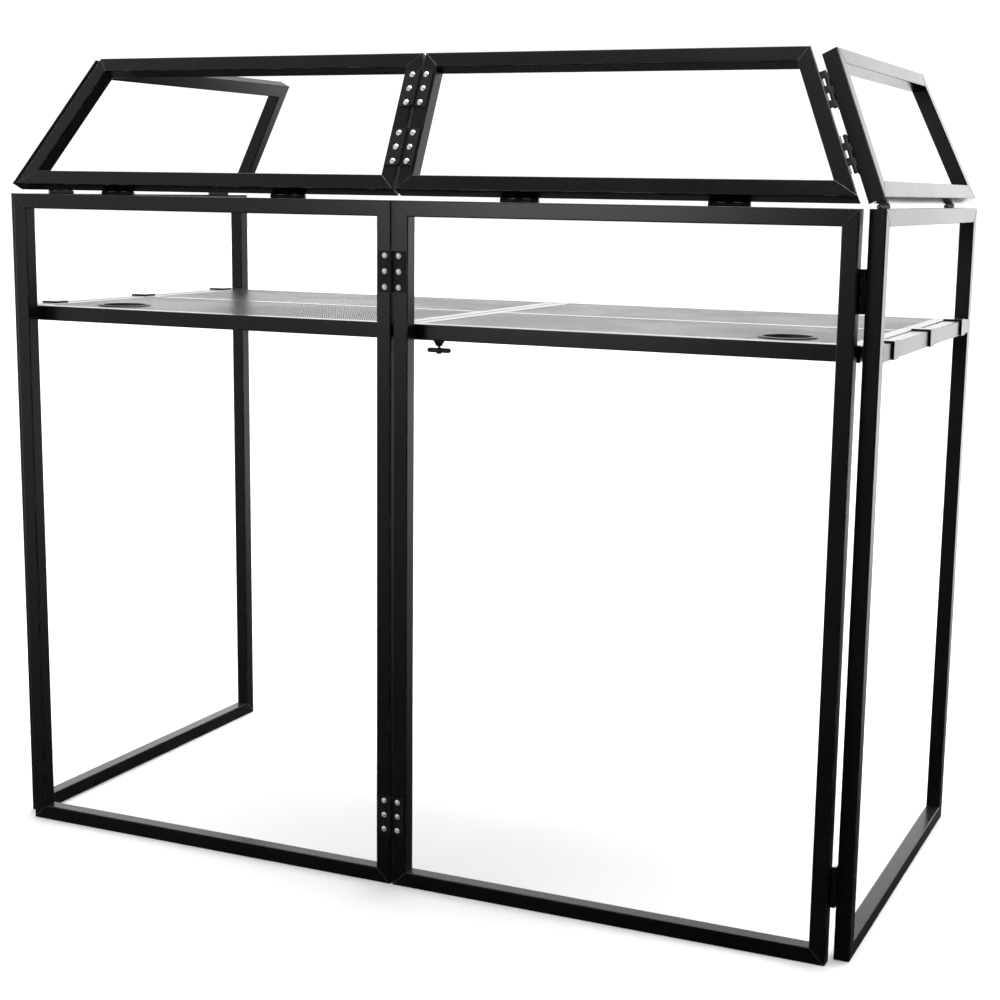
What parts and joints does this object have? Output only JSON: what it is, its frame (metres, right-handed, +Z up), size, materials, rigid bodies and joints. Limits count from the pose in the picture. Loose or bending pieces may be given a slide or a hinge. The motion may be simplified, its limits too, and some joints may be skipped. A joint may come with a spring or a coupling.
{
  "type": "folding dj booth frame",
  "caption": "Folding U-shaped black square-tube booth frame with slanted hinged upper frames and a hooked-on perforated table with cable ports and a seam clamp.",
  "frame": {"origin": "on the floor, under the middle of the booth's box", "axes": "+X to the right along the front, +Y from the front to the operator's side, +Z up"},
  "size_m": [1.54, 0.751, 1.3523],
  "materials": {
    "black_coat": "satin powder coat",
    "hinge_black": "satin black",
    "perforated_sheet": "satin, finely perforated",
    "bright_zinc": "bright zinc",
    "plain_steel": "plain",
    "port_plastic": "matt black",
    "handle_plastic": "matt black"
  },
  "bodies": {
    "right_half": {"front_right_frame": "black_coat", "side_right_frame": "black_coat", "side_right_table_rail": "black_coat", "front_hinge_right_leaves": "hinge_black", "front_hinge_right_screws": "bright_zinc", "corner_right_front_leaves": "hinge_black", "corner_right_side_leaves": "hinge_black", "corner_right_pins": "plain_steel", "front_right_fold_lower_leaves": "hinge_black", "front_right_fold_pins": "plain_steel", "side_right_fold_lower_leaves": "hinge_black", "side_right_fold_pins": "plain_steel", "front_hinge_pins": "plain_steel"},
    "left_half": {"front_left_frame": "black_coat", "side_left_frame": "black_coat", "side_left_table_rail": "black_coat", "front_hinge_left_leaves": "hinge_black", "front_hinge_left_screws": "bright_zinc", "corner_left_front_leaves": "hinge_black", "corner_left_side_leaves": "hinge_black", "corner_left_pins": "plain_steel", "front_left_fold_lower_leaves": "hinge_black", "front_left_fold_pins": "plain_steel", "side_left_fold_lower_leaves": "hinge_black", "side_left_fold_pins": "plain_steel"},
    "upper_front_right": {"upper_front_right_frame": "black_coat", "top_hinge_right_leaves": "hinge_black", "top_hinge_right_screws": "bright_zinc", "front_right_fold_upper_leaves": "hinge_black", "top_corner_right_front_leaves": "hinge_black"},
    "upper_front_left": {"upper_front_left_frame": "black_coat", "top_hinge_left_leaves": "hinge_black", "top_hinge_left_screws": "bright_zinc", "front_left_fold_upper_leaves": "hinge_black", "top_corner_left_front_leaves": "hinge_black"},
    "upper_side_right": {"upper_side_right_frame": "black_coat", "side_right_fold_upper_leaves": "hinge_black", "top_corner_right_side_leaves": "hinge_black"},
    "upper_side_left": {"upper_side_left_frame": "black_coat", "side_left_fold_upper_leaves": "hinge_black", "top_corner_left_side_leaves": "hinge_black"},
    "table_right": {"table_right_frame": "black_coat", "table_right_front_mesh": "perforated_sheet", "table_right_rear_mesh": "perforated_sheet", "table_right_hooks": "black_coat", "cable_port_right": "port_plastic", "clamp_cone": "black_coat", "clamp_nut": "plain_steel"},
    "table_left": {"table_left_frame": "black_coat", "table_left_front_mesh": "perforated_sheet", "table_left_rear_mesh": "perforated_sheet", "table_left_hooks": "black_coat", "cable_port_left": "port_plastic"},
    "clamp": {"clamp_screw": "plain_steel", "clamp_handle": "handle_plastic"}
  },
  "joints": [
    {"name": "front_fold", "type": "hinge", "parent": "right_half", "child": "left_half", "pos_m": [0, -0.3725, 0.56], "axis": [0, 0, 1], "range_deg": [0, 180]},
    {"name": "upper_front_right_fold", "type": "hinge", "parent": "right_half", "child": "upper_front_right", "pos_m": [0.366, -0.3415, 1.1245], "axis": [1, 0, 0], "range_deg": [0, 26]},
    {"name": "upper_front_left_fold", "type": "hinge", "parent": "left_half", "child": "upper_front_left", "pos_m": [-0.366, -0.3415, 1.1245], "axis": [1, 0, 0], "range_deg": [0, 26]},
    {"name": "upper_side_right_fold", "type": "hinge", "parent": "right_half", "child": "upper_side_right", "pos_m": [0.7385, -0.0045, 1.1245], "axis": [0, 1, 0], "range_deg": [0, 26]},
    {"name": "upper_side_left_fold", "type": "hinge", "parent": "left_half", "child": "upper_side_left", "pos_m": [-0.7385, -0.0045, 1.1245], "axis": [0, -1, 0], "range_deg": [0, 26]},
    {"name": "table_right_lift", "type": "slide", "parent": "right_half", "child": "table_right", "axis": [0, 0, 1], "range_m": [0, 0.15]},
    {"name": "table_left_lift", "type": "slide", "parent": "left_half", "child": "table_left", "axis": [0, 0, 1], "range_m": [0, 0.15]},
    {"name": "clamp_turn", "type": "hinge", "parent": "table_right", "child": "clamp", "pos_m": [0, -0.2035, 0.878], "axis": [0, 0, 1], "continuous": true}
  ],
  "couplings": [
    {"joint": "upper_front_left_fold", "follows": "upper_front_right_fold", "ratio": 1},
    {"joint": "upper_side_right_fold", "follows": "upper_front_right_fold", "ratio": 1},
    {"joint": "upper_side_left_fold", "follows": "upper_front_right_fold", "ratio": 1},
    {"joint": "table_left_lift", "follows": "table_right_lift", "ratio": 1}
  ]
}
